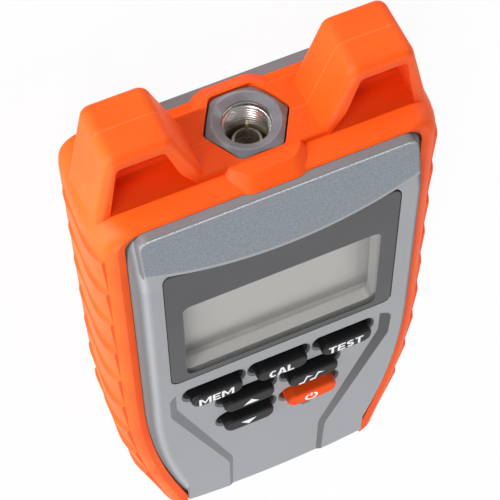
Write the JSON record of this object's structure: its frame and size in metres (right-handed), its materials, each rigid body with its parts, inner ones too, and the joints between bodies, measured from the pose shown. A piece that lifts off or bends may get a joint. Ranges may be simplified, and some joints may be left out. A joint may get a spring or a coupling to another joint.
{
  "type": "cable length meter",
  "caption": "Handheld cable length meter with a grey case in an orange rubber boot with strap loops, a display behind a dark lens, rubber keys and a coaxial port in its top end.",
  "frame": {"origin": "centre of the overall footprint, on the surface that the meter's back lies on", "axes": "+Z out of the display, +Y towards the coaxial port, +X to the right as the display is read"},
  "size_m": [0.0762, 0.1526, 0.0326],
  "materials": {
    "cover_grey": "fine moulded texture",
    "boot_orange": "soft satin moulding",
    "lens_plastic": "gloss, dark printed border",
    "display_glass": "flat glass",
    "dark_plastic": "fine matte",
    "white_plastic": "satin",
    "key_black": "matte silicone with white legends",
    "key_orange": "matte silicone with a white legend",
    "keypad_rubber": "matte silicone",
    "strip_rubber": "matte silicone",
    "board_green": "lacquered board",
    "dome_metal": "polished",
    "bush_grey": "satin moulding",
    "sleeve_nickel": "bright plating",
    "pin_brass": "plated",
    "screw_steel": "zinc plated",
    "cell_sleeve": "printed film sleeve",
    "chip_black": "moulded epoxy",
    "can_aluminium": "drawn can"
  },
  "bodies": {
    "case": {"front_cover": "cover_grey", "rear_cover": "cover_grey", "rubber_boot": "boot_orange", "lens": "lens_plastic", "lcd_glass": "display_glass", "lcd_frame": "white_plastic", "lcd_light_guide": "white_plastic", "lcd_contact_strips": "strip_rubber", "main_pcb": "board_green", "pcb_screws": "screw_steel", "keypad_mat": "keypad_rubber", "dome_switches": "dome_metal", "port_bushing": "bush_grey", "port_sleeve": "sleeve_nickel", "port_post": "sleeve_nickel", "port_insulator": "white_plastic", "port_pin": "pin_brass", "port_nut": "screw_steel", "battery_door": "cover_grey", "door_screw": "screw_steel", "case_screws": "screw_steel", "battery_cells": "cell_sleeve", "battery_springs": "screw_steel", "battery_contacts": "screw_steel", "processor_chip": "chip_black", "signal_chips": "chip_black", "input_relay": "dark_plastic", "capacitors": "can_aluminium", "tone_buzzer": "dark_plastic"},
    "mem_key": {"key_mem": "key_black"},
    "cal_key": {"key_cal": "key_black"},
    "test_key": {"key_test": "key_black"},
    "up_key": {"key_up": "key_black"},
    "tone_key": {"key_tone": "key_black"},
    "down_key": {"key_down": "key_black"},
    "power_key": {"key_power": "key_orange"}
  },
  "joints": [
    {"name": "mem_press", "type": "slide", "parent": "case", "child": "mem_key", "axis": [0, 0, -1], "range_m": [0, 0.001], "stiffness_N_per_m": 900},
    {"name": "cal_press", "type": "slide", "parent": "case", "child": "cal_key", "axis": [0, 0, -1], "range_m": [0, 0.001], "stiffness_N_per_m": 900},
    {"name": "test_press", "type": "slide", "parent": "case", "child": "test_key", "axis": [0, 0, -1], "range_m": [0, 0.001], "stiffness_N_per_m": 900},
    {"name": "up_press", "type": "slide", "parent": "case", "child": "up_key", "axis": [0, 0, -1], "range_m": [0, 0.001], "stiffness_N_per_m": 900},
    {"name": "tone_press", "type": "slide", "parent": "case", "child": "tone_key", "axis": [0, 0, -1], "range_m": [0, 0.001], "stiffness_N_per_m": 900},
    {"name": "down_press", "type": "slide", "parent": "case", "child": "down_key", "axis": [0, 0, -1], "range_m": [0, 0.001], "stiffness_N_per_m": 900},
    {"name": "power_press", "type": "slide", "parent": "case", "child": "power_key", "axis": [0, 0, -1], "range_m": [0, 0.001], "stiffness_N_per_m": 900}
  ]
}
